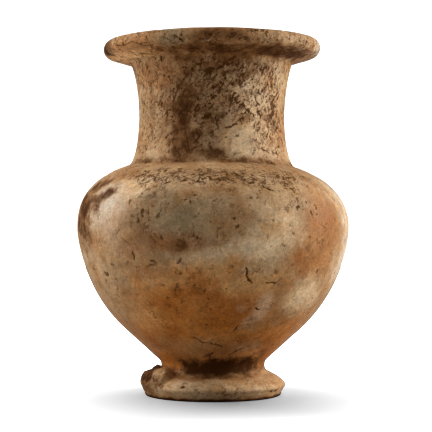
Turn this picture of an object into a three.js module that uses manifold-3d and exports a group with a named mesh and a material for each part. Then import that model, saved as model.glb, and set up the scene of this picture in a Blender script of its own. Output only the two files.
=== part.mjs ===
// An ancient alabaster vase, carved from one block and hollowed through its neck: a broad flat rim,
// a tall neck with a slight waist, a full body that narrows to a straight cone, and a low spreading
// foot that is broken on one side. Millimetres, +Z up. The origin is the centre of the underside,
// and the vase's front looks along -Y.
import * as THREE from "three";
import { mergeVertices } from "three/addons/utils/BufferGeometryUtils.js";
import Module from "manifold-3d";

const degrees = THREE.MathUtils.degToRad;
const smooth = (low, high, value) => THREE.MathUtils.smoothstep(value, low, high);

// The foot, from the floor up to the narrow ring at its top
const FOOT_HEIGHT = 16.4;
const WAIST_RADIUS = 29.3; // that narrow ring
const FOOT_SPREAD = 12.1; // how far the foot stands out past the narrow ring
const FOOT_UNDERCUT = 3.9; // how far its lower edge rounds in to the ring that it stands on
const FOOT_EDGE_HEIGHT = 5.2; // from the floor to its widest ring
const FOOT_TOP_SLOPE = degrees(24); // where its top runs in to the waist
const WAIST_HOLLOW = 3.8; // reach of the hollow round the waist, up and down

// The body
const CONE_ANGLE = degrees(42.3); // slope of the straight lower body
const CONE_HEIGHT = 17.8;
const BELLY_RADIUS = 77;
const BELLY_RISE = 78.6; // from the waist to the widest ring
const SHOULDER_RISE = 34.8; // from the widest ring to the neck
const SHOULDER_ANGLE = degrees(27); // slope of the shoulder at the neck

// The neck and the rim
const NECK_RADIUS = 41.4; // the neck's narrowest ring
const NECK_HEIGHT = 57.4;
const NECK_WAIST_SHARE = 0.46; // how far up the neck that ring lies
const NECK_ROOT_FLARE = 5.2; // how much wider the neck is where it meets the shoulder
const NECK_TOP_FLARE = 4.4; // how much wider it is under the rim
const RIM_OVERHANG = 15.7; // how far the rim stands out past the top of the neck
const RIM_DEPTH = 12.8; // from the top of the neck to the top of the rim
const LIP_HEIGHT = 9; // the thickness of the rim near its edge
const LIP_ROUNDING = 3.6; // how far the lip's round edge reaches in

// The hollow
const NECK_WALL = 8;
const BODY_WALL = 9; // measured square to the surface
const MOUTH_ROUNDING = 2.4; // the worn inner edge of the rim
const FLOOR_THICKNESS = 31; // solid stone under the hollow, the foot included

// What the hand left uneven
const RIM_TILT = degrees(0.5); // the rim is a little low on the -X side
const NECK_DRIFT = 0.7; // the neck stands a little towards -X
const SHOULDER_SWELL = 0.6; // the shoulder is a little high on the -X side

// The broken side of the foot, where rough stone stands above the finished moulding. Azimuths turn
// from +X towards +Y. Towards the front the break ends in a step, at the back it fades out.
const BREAK_FRONT = degrees(227);
const BREAK_BACK = degrees(140);
const BREAK_STEP = degrees(9); // the turn that the front step takes
const BREAK_RISE = 3.6;
const BREAK_SWELL = 0.8; // how far it stands out sideways
const BREAK_ROUGHNESS = 0.5;

const SEGMENTS = 64; // facets round the vase

const FOOT_RADIUS = WAIST_RADIUS + FOOT_SPREAD;
const BELLY_HEIGHT = FOOT_HEIGHT + BELLY_RISE;
const ROOT_HEIGHT = BELLY_HEIGHT + SHOULDER_RISE;
const ROOT_RADIUS = NECK_RADIUS + NECK_ROOT_FLARE;
const NECK_TOP_RADIUS = NECK_RADIUS + NECK_TOP_FLARE;
const NECK_TOP_HEIGHT = ROOT_HEIGHT + NECK_HEIGHT;
const RIM_RADIUS = NECK_TOP_RADIUS + RIM_OVERHANG;
const TOP_HEIGHT = NECK_TOP_HEIGHT + RIM_DEPTH;
const MOUTH_RADIUS = NECK_RADIUS - NECK_WALL;

// Chips, each a scoop in an edge: its azimuth in degrees, the radius of the ball that scoops it, how
// deep it bites, and its place on the edge, from 0 at the bottom to 1 at the top
const FOOT_CHIPS = [
  { azimuth: 206, ball: 8, bite: 0.9, place: 0.95 },
  { azimuth: 219, ball: 6, bite: 1.1, place: 0.9 },
  { azimuth: 163, ball: 9, bite: 0.9, place: 0.8 },
  { azimuth: 330, ball: 2.4, bite: 1.2, place: 0.26 },
];
const LIP_CHIPS = [
  { azimuth: 204, ball: 6, bite: 1, place: 0.9 },
  { azimuth: 257, ball: 3.5, bite: 0.9, place: 0.1 },
  { azimuth: 266, ball: 3, bite: 0.8, place: 0.1 },
  { azimuth: 104, ball: 7, bite: 1.1, place: 0.25 },
];

const UP = Math.PI / 2;
const point = (radius, height) => new THREE.Vector2(radius, height);

// A smooth curve of the outline. It leaves its start and reaches its end along the given angles, and
// each pull is the length of that end's handle as a share of the straight distance.
function sweep(start, startAngle, startPull, end, endAngle, endPull) {
  const reach = start.distanceTo(end);
  const handle = (from, angle, length) =>
    point(from.x + Math.cos(angle) * length, from.y + Math.sin(angle) * length);
  return new THREE.CubicBezierCurve(
    start,
    handle(start, startAngle, startPull * reach),
    handle(end, endAngle, -endPull * reach),
    end,
  );
}

// The places that neighbouring curves share
const rest = point(FOOT_RADIUS - FOOT_UNDERCUT, 0);
const footEdge = point(FOOT_RADIUS, FOOT_EDGE_HEIGHT);
const footTop = point(WAIST_RADIUS + WAIST_HOLLOW * 0.8, FOOT_HEIGHT - WAIST_HOLLOW);
const waist = point(WAIST_RADIUS, FOOT_HEIGHT);
const coneStart = point(WAIST_RADIUS + WAIST_HOLLOW * 0.36, FOOT_HEIGHT + WAIST_HOLLOW);
const coneEnd = point(
  coneStart.x + CONE_HEIGHT / Math.tan(CONE_ANGLE),
  coneStart.y + CONE_HEIGHT,
);
const belly = point(BELLY_RADIUS, BELLY_HEIGHT);
const root = point(ROOT_RADIUS, ROOT_HEIGHT);
const narrow = point(NECK_RADIUS, ROOT_HEIGHT + NECK_HEIGHT * NECK_WAIST_SHARE);
const neckTop = point(NECK_TOP_RADIUS, NECK_TOP_HEIGHT);
const lipMiddle = point(RIM_RADIUS - LIP_ROUNDING, TOP_HEIGHT - LIP_HEIGHT / 2);

// The outline in stretches, each a list of curves with the number of facets that each gets
function footCurves() {
  const topAngle = Math.PI - FOOT_TOP_SLOPE;
  return [
    [new THREE.LineCurve(point(0, 0), rest), 1],
    [sweep(rest, degrees(14), 0.42, footEdge, UP, 0.42), 3],
    [sweep(footEdge, UP, 0.19, footTop, topAngle, 0.38), 5],
    [sweep(footTop, topAngle, 0.4, waist, UP, 0.42), 3],
    [sweep(waist, UP, 0.35, coneStart, CONE_ANGLE, 0.35), 3],
  ];
}

function bodyCurves() {
  return [
    [new THREE.LineCurve(coneStart, coneEnd), 2],
    [sweep(coneEnd, CONE_ANGLE, 0.41, belly, UP, 0.2), 8],
    [sweep(belly, UP, 0.58, root, Math.PI - SHOULDER_ANGLE, 0.09), 9],
  ];
}

function neckCurves() {
  return [
    [sweep(root, degrees(133), 0.15, narrow, UP, 0.46), 4],
    [sweep(narrow, UP, 0.19, neckTop, degrees(69), 0.32), 4],
  ];
}

function rimCurves() {
  const lip = new THREE.EllipseCurve(
    lipMiddle.x,
    lipMiddle.y,
    LIP_ROUNDING,
    LIP_HEIGHT / 2,
    -UP,
    UP,
  );
  const lipBottom = lip.getPoint(0);
  const lipTop = lip.getPoint(1);
  const mouthEdge = point(MOUTH_RADIUS + MOUTH_ROUNDING, TOP_HEIGHT);
  return [
    [new THREE.LineCurve(neckTop, lipBottom), 1],
    [lip, 8],
    [new THREE.LineCurve(lipTop, mouthEdge), 1],
  ];
}

// The points of a list of curves, end to end, without the doubled ones where they meet
function pointsOf(curves) {
  const points = curves.flatMap(([curve, steps]) => curve.getPoints(steps));
  return points.filter((p, i) => i === 0 || p.distanceTo(points[i - 1]) > 1e-6);
}

// The hollow's wall: every other point of the body's outside, moved in by the wall's thickness
function innerWall() {
  const outside = pointsOf(bodyCurves()).filter((p, i) => i % 2 === 0);
  const wall = outside.map((p, i) => {
    const before = outside[Math.max(i - 1, 0)];
    const after = outside[Math.min(i + 1, outside.length - 1)];
    const along = after.clone().sub(before).normalize();
    return point(p.x - along.y * BODY_WALL, p.y + along.x * BODY_WALL);
  });
  const floorEdge = FLOOR_THICKNESS + BODY_WALL / 2;
  return wall.filter((p) => p.y > floorEdge && p.x > MOUTH_RADIUS + BODY_WALL / 4);
}

// The hollow, from the mouth down to the middle of its floor
function hollowPoints() {
  const wall = innerWall().reverse();
  const low = wall[wall.length - 1];
  const mouthEdge = new THREE.EllipseCurve(
    MOUTH_RADIUS + MOUTH_ROUNDING,
    TOP_HEIGHT - MOUTH_ROUNDING,
    MOUTH_ROUNDING,
    MOUTH_ROUNDING,
    UP,
    Math.PI,
  );
  const boreTop = point(MOUTH_RADIUS, TOP_HEIGHT - MOUTH_ROUNDING);
  const boreEnd = point(MOUTH_RADIUS, wall[0].y + (wall[0].x - MOUTH_RADIUS) / 2);
  const floor = new THREE.QuadraticBezierCurve(
    low,
    point(low.x * 0.62, FLOOR_THICKNESS),
    point(0, FLOOR_THICKNESS),
  );
  return [
    ...mouthEdge.getPoints(3).slice(1),
    ...new THREE.LineCurve(boreTop, boreEnd).getPoints(3).slice(1),
    ...wall,
    ...floor.getPoints(4).slice(1),
  ];
}

// From the middle of the underside, up the outside, and down the hollow to the middle of its floor
function outline() {
  const outside = [...footCurves(), ...bodyCurves(), ...neckCurves(), ...rimCurves()];
  return [...pointsOf(outside), ...hollowPoints()];
}

// How much of the foot's break there is at an azimuth, from 0 to 1
function breakShare(azimuth) {
  const turn = THREE.MathUtils.euclideanModulo(azimuth, 2 * Math.PI);
  const front = 1 - smooth(BREAK_FRONT - BREAK_STEP, BREAK_FRONT, turn);
  return front * smooth(BREAK_BACK, (BREAK_BACK + BREAK_FRONT) / 2, turn);
}

// Rough stone on the broken side: it rises over the foot's top and stands out from its edge
function breakFoot(vertex) {
  const radius = Math.hypot(vertex.x, vertex.y);
  const low = FOOT_EDGE_HEIGHT / 2;
  if (vertex.z < low || vertex.z > FOOT_HEIGHT || radius < WAIST_RADIUS) return;
  const azimuth = Math.atan2(vertex.y, vertex.x);
  const upFoot = smooth(low, FOOT_EDGE_HEIGHT * 2, vertex.z);
  const offWaist = smooth(WAIST_RADIUS, WAIST_RADIUS + WAIST_HOLLOW / 2, radius);
  const share = breakShare(azimuth) * upFoot * offWaist;
  const crag = Math.sin(azimuth * 13 + vertex.z) + Math.sin(azimuth * 29 - radius * 0.9);
  vertex.z += share * (BREAK_RISE + BREAK_ROUGHNESS * crag);
  const push = 1 + (share * (BREAK_SWELL + BREAK_ROUGHNESS * crag)) / radius;
  vertex.x *= push;
  vertex.y *= push;
}

// The small errors of a vase shaped by hand
function unevenHand(vertex) {
  const overShoulder = smooth(BELLY_HEIGHT, ROOT_HEIGHT, vertex.z);
  const overNeck = smooth(ROOT_HEIGHT, NECK_TOP_HEIGHT, vertex.z);
  const swell = overShoulder * (1 - overNeck) * (vertex.x / ROOT_RADIUS);
  vertex.z += vertex.x * Math.tan(RIM_TILT) * overNeck - SHOULDER_SWELL * swell;
  vertex.x -= NECK_DRIFT * overShoulder;
}

const wasm = await Module();
wasm.setup();

function solidOf(geometry) {
  geometry.deleteAttribute("normal");
  geometry.deleteAttribute("uv");
  const merged = mergeVertices(geometry, 1e-3);
  return new wasm.Manifold(
    new wasm.Mesh({
      numProp: 3,
      vertProperties: merged.attributes.position.array,
      triVerts: new Uint32Array(merged.index.array),
    }),
  );
}

function geometryOf(solid) {
  const { vertProperties, triVerts } = solid.getMesh();
  const geometry = new THREE.BufferGeometry();
  geometry.setAttribute("position", new THREE.BufferAttribute(vertProperties, 3));
  geometry.setIndex(new THREE.BufferAttribute(triVerts, 1));
  return geometry;
}

function carvedBody() {
  const geometry = new THREE.LatheGeometry(outline(), SEGMENTS).rotateX(UP);
  const positions = geometry.attributes.position;
  const vertex = new THREE.Vector3();
  for (let i = 0; i < positions.count; i += 1) {
    vertex.fromBufferAttribute(positions, i);
    breakFoot(vertex);
    unevenHand(vertex);
    positions.setXYZ(i, vertex.x, vertex.y, vertex.z);
  }
  return solidOf(geometry);
}

// The faceted balls that scoop chips from a round edge of the given radius, bottom and height
function chipCutters(chips, radius, bottom, height) {
  return chips.map(({ azimuth, ball, bite, place }) => {
    const turn = degrees(azimuth);
    const lean = (place - 0.5) * UP;
    const reach = radius + (ball - bite) * Math.cos(lean) - (1 - Math.cos(lean)) * height / 2;
    const geometry = new THREE.IcosahedronGeometry(ball, 2).translate(
      reach * Math.cos(turn),
      reach * Math.sin(turn),
      bottom + height * place + (ball - bite) * Math.sin(lean),
    );
    return solidOf(geometry);
  });
}

function vase() {
  const cutters = [
    ...chipCutters(FOOT_CHIPS, FOOT_RADIUS, 0, FOOT_EDGE_HEIGHT * 2),
    ...chipCutters(LIP_CHIPS, RIM_RADIUS, TOP_HEIGHT - LIP_HEIGHT, LIP_HEIGHT),
  ];
  const stone = cutters.reduce((body, cutter) => body.subtract(cutter), carvedBody());
  const alabaster = new THREE.MeshStandardMaterial({
    color: 0xb08d66,
    roughness: 0.55,
    metalness: 0,
  });
  const mesh = new THREE.Mesh(geometryOf(stone), alabaster);
  mesh.name = "vase";
  return mesh;
}

const group = new THREE.Group();
group.add(vase());

export default group;
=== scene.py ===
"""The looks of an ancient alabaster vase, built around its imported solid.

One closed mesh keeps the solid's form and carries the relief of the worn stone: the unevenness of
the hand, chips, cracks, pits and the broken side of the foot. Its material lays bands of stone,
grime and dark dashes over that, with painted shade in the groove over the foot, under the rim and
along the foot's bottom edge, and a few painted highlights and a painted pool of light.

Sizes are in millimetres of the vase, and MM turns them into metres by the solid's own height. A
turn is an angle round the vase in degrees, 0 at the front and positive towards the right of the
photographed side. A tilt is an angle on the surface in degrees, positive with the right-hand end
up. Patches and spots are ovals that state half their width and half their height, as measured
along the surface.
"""

import math

import bpy
import numpy as np
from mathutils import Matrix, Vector, noise


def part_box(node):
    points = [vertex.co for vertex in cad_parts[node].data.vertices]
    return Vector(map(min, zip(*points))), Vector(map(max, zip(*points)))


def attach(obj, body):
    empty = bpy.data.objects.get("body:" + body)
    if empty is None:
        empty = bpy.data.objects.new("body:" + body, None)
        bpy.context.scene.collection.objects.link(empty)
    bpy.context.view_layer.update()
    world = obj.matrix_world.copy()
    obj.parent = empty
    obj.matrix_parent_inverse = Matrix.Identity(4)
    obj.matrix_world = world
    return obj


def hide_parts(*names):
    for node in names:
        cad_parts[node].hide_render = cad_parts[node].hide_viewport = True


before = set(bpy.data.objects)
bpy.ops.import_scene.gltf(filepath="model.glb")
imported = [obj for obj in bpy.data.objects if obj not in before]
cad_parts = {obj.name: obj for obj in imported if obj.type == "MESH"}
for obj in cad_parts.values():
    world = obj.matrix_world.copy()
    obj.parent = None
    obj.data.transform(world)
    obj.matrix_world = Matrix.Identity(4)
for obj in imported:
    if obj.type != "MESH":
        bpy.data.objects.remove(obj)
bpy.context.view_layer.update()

SOLID_HEIGHT = 200.505  # with the tilt of its rim
solid_low, solid_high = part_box("vase")
MM = (solid_high[2] - solid_low[2]) / SOLID_HEIGHT

# Sizes of the outline, as in the solid
UP = math.pi / 2  # the angle of a curve that runs straight up
FOOT_HEIGHT = 16.4  # up to the waist, the narrow ring over the foot
WAIST_RADIUS = 29.3
WAIST_HOLLOW = 3.8  # reach of the hollow round the waist, up and down
FOOT_RADIUS = 41.4
FOOT_EDGE_HEIGHT = 5.2
REST_RADIUS = 37.5  # the ring that it stands on
REST_ANGLE = math.radians(14)  # slope of the foot's edge where it leaves that ring
FOOT_TOP_SLOPE = math.radians(24)
FOOT_TOP_OUT = 0.8  # share of the waist's hollow that its lower end stands out
CONE_START_OUT = 0.36  # the same share at its upper end, where the cone starts
CONE_ANGLE = math.radians(42.3)
CONE_HEIGHT = 17.8
BELLY_RADIUS = 77.0
BELLY_HEIGHT = 95.0
SHOULDER_ANGLE = math.radians(27)
ROOT_RADIUS = 46.6  # where the neck meets the shoulder
ROOT_HEIGHT = 129.8
NECK_ROOT_ANGLE = math.radians(133)
NECK_RADIUS = 41.4  # at the neck's narrowest ring
NARROW_HEIGHT = 156.2
NECK_TOP_RADIUS = 45.8
NECK_TOP_HEIGHT = 187.2
NECK_TOP_ANGLE = math.radians(69)
RIM_RADIUS = 61.5
LIP_HEIGHT = 9.0
LIP_ROUNDING = 3.6
TOP_HEIGHT = 200.0
MOUTH_RADIUS = 33.4
MOUTH_ROUNDING = 2.4
BODY_WALL = 9.0
HOLLOW_FLOOR = 31.0
FLOOR_ANGLE = math.radians(215)  # of the hollow's wall where it turns in to its floor

# What the hand left uneven, as in the solid
RIM_TILT = math.radians(0.5)
NECK_DRIFT = 0.7
SHOULDER_SWELL = 0.6

# The broken side of the foot: the solid's, with a steeper step and a rougher crag
BREAK_FRONT = -43.0
BREAK_BACK = -130.0
BREAK_STEP = 5.0
BREAK_RISE = 3.6
BREAK_SWELL = 0.8
BREAK_ROUGHNESS = 0.9
CRAG_SWELL_LIMIT = 0.3  # how much of the crag may push the foot outwards

# Chips, as in the solid: turn, radius of the scooping ball, bite, and place from bottom to top
FOOT_CHIPS = [(-64, 8, 0.9, 0.95), (-51, 6, 1.1, 0.9), (-107, 9, 0.9, 0.8), (60, 2.4, 1.2, 0.26)]
LIP_CHIPS = [(-66, 6, 1.0, 0.9), (-13, 3.5, 0.9, 0.1), (-4, 3, 0.8, 0.1), (-166, 7, 1.1, 0.25)]
CHIP_UNEVENNESS = 0.08

# Depths of the relief
WIDE_WEAR = 0.28
MIDDLING_WEAR = 0.1
SMALL_WEAR = 0.05
SCRATCH_DEPTH = 0.07
CRACK_DEPTH = 0.3
PIT_DEPTH = 0.35
FOOT_EDGE_WEAR = 1.4
SCRATCHED = (114, 122, 129, 131)  # heights between which the lathe's scratches show

# The mesh, with most of its facets on the photographed side
COLUMNS = 364
FRONT_BIAS = 0.3
CURVE_POINTS = 80
ARC_POINTS = 60
SHOULDER_SPLIT = 60  # the point of the shoulder's curve from which its rings lie closer
INNER_RADIUS = 1.0  # of the first and the last ring, each closed by a fan
UNDERSIDE_SPACING = 9.0
SEED_STEP = (17.3, -9.1, 5.7)  # how far apart the noises of two seeds are taken
OCTAVE_FALL = 1.0  # how fast the finer lumps of a noise weaken
OCTAVE_STEP = 2.0  # how many times finer each kind of lump is than the last

# Colours of the stone and of what has soaked into it, as shares of the light that they return
CREAM = (0.62, 0.42, 0.235)
WHITE = (0.88, 0.63, 0.375)
SAND = (0.55, 0.34, 0.17)
TAN = (0.50, 0.28, 0.125)
ROSE = (0.47, 0.22, 0.08)
PINK = (0.64, 0.39, 0.22)
HONEY = (0.58, 0.215, 0.045)
AMBER = (0.50, 0.17, 0.03)
RUSSET = (0.36, 0.13, 0.04)
OLIVE = (0.40, 0.275, 0.145)
UMBER = (0.16, 0.085, 0.04)
BROWN = (0.33, 0.14, 0.047)
GOLD = (0.76, 0.40, 0.15)
CHALK = (0.72, 0.565, 0.415)
DUN = (0.33, 0.215, 0.115)
# painted light: the lit colour of the left of the rim's underside
UNDERSIDE_PAINTED_LIGHT = (0.98, 0.56, 0.24)

# Colours that the material lays over the stone
DASH_COLOUR = (0.10, 0.034, 0.004, 1)
LIGHT_DASH_COLOUR = (0.20, 0.085, 0.028, 1)
# The wash and grime colours also paint shade in the groove over the foot, under the rim and along the
# foot's bottom edge
WASH_AND_SHADE_COLOUR = (0.25, 0.105, 0.03, 1)
GRIME_AND_SHADE_COLOUR = (0.062, 0.018, 0.002, 1)
VEIN_COLOUR = (0.27, 0.12, 0.04, 1)

# Tints that the stone's colour is multiplied by
PALE_TINT = (1.08, 1.08, 1.08, 1)
BROWN_TINT = (0.86, 0.71, 0.55, 1)

# The lie of the dashes
DASH_TILT = math.radians(40)
DASH_STRETCH = 1.8

# What holds for the whole surface of the stone
SURFACE_VALUES = {
    "Specular IOR Level": 0.06,
    "Subsurface Weight": 0.12,
    "Subsurface Radius": (1.0, 0.45, 0.2),
    "Subsurface Scale": 3 * MM,
}
BUMP_STRENGTH = 0.9

# The camera
CAMERA_DISTANCE = 776
EYE_HEIGHT = 90.8
SENSOR_WIDTH = 36
LENS = 113.7
SHIFT_RIGHT = 0.0070
SHIFT_UP = 0.0422
NEAR_CLIP = 0.01  # in metres, as the next
FAR_CLIP = 50

# Lights: name, azimuth, distance, height of the middle, width, height and power
VASE_LIGHTS = [
    ("left_softbox", -98, 900, 650, 350, 700, 6.3),
    ("left_low", -80, 700, 20, 350, 100, 1.0),
    ("right_softbox", 97, 900, 380, 350, 800, 10.5),
    ("top_softbox", -90, 350, 850, 500, 500, 1.8),
]
FLOOR_LIGHTS = [
    ("overhead", -170, 320, 900, 2000, 250, 14),
    ("ceiling", 0, 0, 1000, 2500, 2500, 7),
]
LIGHTS_FACE = Vector((0, 0, 100))  # the point that every light is turned to
AROUND_STRENGTH = 0.23
BACKDROP_STRENGTH = 1.75
WHITE_LIGHT = (1, 1, 1, 1)

# The floor, with its size in metres
FLOOR_SIZE = 6
FLOOR_COLOUR = (0.36, 0.36, 0.36, 1)
FLOOR_ROUGHNESS = 0.9


def smooth(low, high, value):
    """0 below low, 1 above high and a soft step between them, for numbers and arrays."""
    share = np.clip((value - low) / (high - low), 0.0, 1.0)
    return share * share * (3 - 2 * share)


# The outline's curves

def sweep(start, start_angle, start_pull, end, end_angle, end_pull):
    """A fine polyline along a curve that leaves start and reaches end at the given angles.

    The pulls say how long it holds to each angle, as shares of the distance.
    """
    start = np.array(start, float)
    end = np.array(end, float)
    reach = np.hypot(*(end - start))
    first = start + np.array([math.cos(start_angle), math.sin(start_angle)]) * start_pull * reach
    last = end - np.array([math.cos(end_angle), math.sin(end_angle)]) * end_pull * reach
    t = np.linspace(0, 1, CURVE_POINTS)[:, None]
    towards = 3 * (1 - t) ** 2 * t * first + 3 * (1 - t) * t ** 2 * last
    return (1 - t) ** 3 * start + towards + t ** 3 * end


def arc(centre, reach, rise, start, end):
    """A fine polyline along an ellipse's arc between two angles."""
    t = np.linspace(start, end, ARC_POINTS)[:, None]
    return np.array(centre) + np.hstack([reach * np.cos(t), rise * np.sin(t)])


def spaced(line, spacing):
    """The points of a polyline at even steps of about that spacing, its last point left out."""
    length = np.concatenate([[0], np.cumsum(np.hypot(*np.diff(line, axis=0).T))])
    steps = max(1, round(length[-1] / spacing))
    at = np.linspace(0, length[-1], steps, endpoint=False)
    return np.column_stack([np.interp(at, length, line[:, i]) for i in (0, 1)])


CONE_START = (WAIST_RADIUS + WAIST_HOLLOW * CONE_START_OUT, FOOT_HEIGHT + WAIST_HOLLOW)


def body_lines():
    """The cone, the belly and the shoulder, as polylines with their spacing."""
    cone_end = (CONE_START[0] + CONE_HEIGHT / math.tan(CONE_ANGLE), CONE_START[1] + CONE_HEIGHT)
    belly = (BELLY_RADIUS, BELLY_HEIGHT)
    shoulder = sweep(belly, UP, 0.58, (ROOT_RADIUS, ROOT_HEIGHT), math.pi - SHOULDER_ANGLE, 0.09)
    return [
        (np.array([CONE_START, cone_end]), 1.3),
        (sweep(cone_end, CONE_ANGLE, 0.41, belly, UP, 0.2), 1.4),
        (shoulder[:SHOULDER_SPLIT], 1.3),
        (shoulder[SHOULDER_SPLIT - 1:], 0.8),
    ]


def outside_lines():
    """The outside from the ring it stands on to the mouth, as polylines with their spacing."""
    edge = (FOOT_RADIUS, FOOT_EDGE_HEIGHT)
    top = (WAIST_RADIUS + WAIST_HOLLOW * FOOT_TOP_OUT, FOOT_HEIGHT - WAIST_HOLLOW)
    top_angle = math.pi - FOOT_TOP_SLOPE
    waist = (WAIST_RADIUS, FOOT_HEIGHT)
    root = (ROOT_RADIUS, ROOT_HEIGHT)
    narrow = (NECK_RADIUS, NARROW_HEIGHT)
    neck_top = (NECK_TOP_RADIUS, NECK_TOP_HEIGHT)
    lip_middle = (RIM_RADIUS - LIP_ROUNDING, TOP_HEIGHT - LIP_HEIGHT / 2)
    lip = arc(lip_middle, LIP_ROUNDING, LIP_HEIGHT / 2, -UP, UP)
    mouth_edge = (MOUTH_RADIUS + MOUTH_ROUNDING, TOP_HEIGHT)
    return [
        (sweep((REST_RADIUS, 0), REST_ANGLE, 0.42, edge, UP, 0.42), 0.8),
        (sweep(edge, UP, 0.19, top, top_angle, 0.38), 0.8),
        (sweep(top, top_angle, 0.4, waist, UP, 0.42), 0.8),
        (sweep(waist, UP, 0.35, CONE_START, CONE_ANGLE, 0.35), 0.8),
        *body_lines(),
        (sweep(root, NECK_ROOT_ANGLE, 0.15, narrow, UP, 0.46), 1.2),
        (sweep(narrow, UP, 0.19, neck_top, NECK_TOP_ANGLE, 0.32), 1.2),
        (np.array([neck_top, lip[0]]), 1.3),
        (lip, 0.9),
        (np.array([lip[-1], mouth_edge]), 3.5),
    ]


def hollow_lines():
    """The mouth, the bore and the hollow's wall, a wall's thickness inside the body, to its floor."""
    body = np.vstack([line for line, _ in body_lines()])
    body = body[np.concatenate([[True], np.hypot(*np.diff(body, axis=0).T) > 1e-6])]
    along = np.gradient(body, axis=0)
    along /= np.linalg.norm(along, axis=1)[:, None]
    wall = body + np.column_stack([-along[:, 1], along[:, 0]]) * BODY_WALL
    above_floor = wall[:, 1] > HOLLOW_FLOOR + BODY_WALL / 2
    wall = wall[above_floor & (wall[:, 0] > MOUTH_RADIUS + BODY_WALL / 4)][::-1]
    edge_middle = (MOUTH_RADIUS + MOUTH_ROUNDING, TOP_HEIGHT - MOUTH_ROUNDING)
    edge = arc(edge_middle, MOUTH_ROUNDING, MOUTH_ROUNDING, UP, math.pi)
    bore_end = (MOUTH_RADIUS, wall[0, 1] + (wall[0, 0] - MOUTH_RADIUS) / 2)
    floor_line = sweep(wall[-1], FLOOR_ANGLE, 0.4, (INNER_RADIUS, HOLLOW_FLOOR), math.pi, 0.4)
    return [
        (edge, 1.2),
        (np.array([edge[-1], bore_end]), 7.0),
        (np.array([bore_end, wall[0]]), 4.0),
        (wall, 7.0),
        (floor_line, 6.0),
    ]


# The grid: rings from the middle of the underside, up the outside and down the hollow

underside = spaced(np.array([(INNER_RADIUS, 0.0), (REST_RADIUS, 0.0)]), UNDERSIDE_SPACING)
outside = np.vstack([spaced(line, spacing) for line, spacing in outside_lines()])
hollow = np.vstack([spaced(line, spacing) for line, spacing in hollow_lines()])
rings = np.vstack([underside, outside, hollow])
ROWS = len(rings)

outside_rows = slice(len(underside), len(underside) + len(outside))
steps = np.arange(COLUMNS) * 2 * math.pi / COLUMNS - math.pi
round_turn = steps - FRONT_BIAS * np.sin(steps)

radius = rings[:, 0][:, None] + np.zeros(COLUMNS)
height = rings[:, 1][:, None] + np.zeros(COLUMNS)
turn = np.degrees(round_turn)[None] + np.zeros((ROWS, 1))
ring_length = np.concatenate([[0], np.cumsum(np.hypot(*np.diff(rings, axis=0).T))])
length = ring_length[:, None] + np.zeros(COLUMNS)
is_outside = np.zeros((ROWS, COLUMNS), bool)
is_outside[outside_rows] = True

slope = np.gradient(rings, axis=0)
slope /= np.linalg.norm(slope, axis=1)[:, None]
east = np.sin(round_turn)[None]
south = -np.cos(round_turn)[None]
points = np.stack([radius * east, radius * south, height], axis=2)
normals = np.stack([slope[:, 1:2] * east, slope[:, 1:2] * south, -slope[:, 0:1] + 0 * east], axis=2)


def lumps(size, octaves, seed):
    """Soft noise for every point of the grid, about -1 to 1, its largest lumps size mm across."""
    shift = Vector([seed * step for step in SEED_STEP])
    flat = (points / size).reshape(-1, 3)
    values = [noise.fractal(Vector(p) + shift, OCTAVE_FALL, OCTAVE_STEP, octaves) for p in flat]
    return np.array(values).reshape(ROWS, COLUMNS)


wide = lumps(38, 2, 1)
middling = lumps(13, 3, 2)
small = lumps(4.5, 3, 3)
ragged = lumps(7, 3, 4)


# Areas of the surface

def band(low, full, fading, gone, fray=0.0, top_fray=0.0):
    """1 between two heights, 0 well below and above them, with edges that can be frayed."""
    rising = smooth(low, full, height + fray * ragged)
    return rising * (1 - smooth(fading, gone, height + top_fray * ragged))


def below(full, gone, wander=0.0, fray=0.0):
    """1 up to one height and 0 above another, with an edge that can wander and be frayed."""
    return 1 - smooth(full, gone, height + wander * wide + fray * ragged)


def length_at(mark_height):
    """How far along the outline a height on the outside lies."""
    return np.interp(mark_height, outside[:, 1], ring_length[outside_rows])


def around(mark_turn, mark_height):
    """Millimetres right and up along the surface from a mark's middle, for the whole grid."""
    away = (turn - mark_turn + 180) % 360 - 180
    return np.radians(away) * radius, length - length_at(mark_height)


def turned(right, up, tilt):
    """The same distances along axes that are tilted, with the right-hand end up."""
    cos = math.cos(math.radians(tilt))
    sin = math.sin(math.radians(tilt))
    return right * cos + up * sin, up * cos - right * sin


PATCH_SOFTNESS = 0.45
STAIN_SOFTNESS = 0.6
VEIN_SOFTNESS = 0.5
PATCH_WARP = 0.45


def patch(mark_turn, mark_height, half_width, half_height, tilt, softness=PATCH_SOFTNESS):
    """1 inside an uneven oval on the surface, 0 outside it and soft between."""
    across, along = turned(*around(mark_turn, mark_height), tilt)
    away = np.hypot(across / half_width, along / half_height)
    away = away + PATCH_WARP * (0.6 * (middling + ragged) + 0.4 * small)
    return (1 - smooth(1 - softness, 1 + softness, away)) * is_outside


def thickened(share, patches, softness):
    """A share raised to each patch's strength inside that patch."""
    for *place, strength in patches:
        share = np.maximum(share, strength * patch(*place, softness))
    return share


# Relief

def break_share():
    """How far the foot is broken at each point, from 0 to 1."""
    front_edge = BREAK_FRONT + 3 * ragged
    share = 1 - smooth(front_edge - BREAK_STEP, front_edge, turn)
    share = share * smooth(BREAK_BACK, (BREAK_BACK + BREAK_FRONT) / 2, turn)
    share = share * smooth(FOOT_EDGE_HEIGHT / 2, FOOT_EDGE_HEIGHT * 2, height)
    share = share * smooth(WAIST_RADIUS, WAIST_RADIUS + WAIST_HOLLOW / 2, radius)
    return np.where((height > FOOT_HEIGHT) | ~is_outside, 0.0, share)


broken = break_share()


def dark_crust():
    """The part of the break that is dark, behind its pale front edge."""
    return smooth(0.25, 0.7, broken) * (1 - smooth(-66, -57, turn + 3 * ragged))


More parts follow.
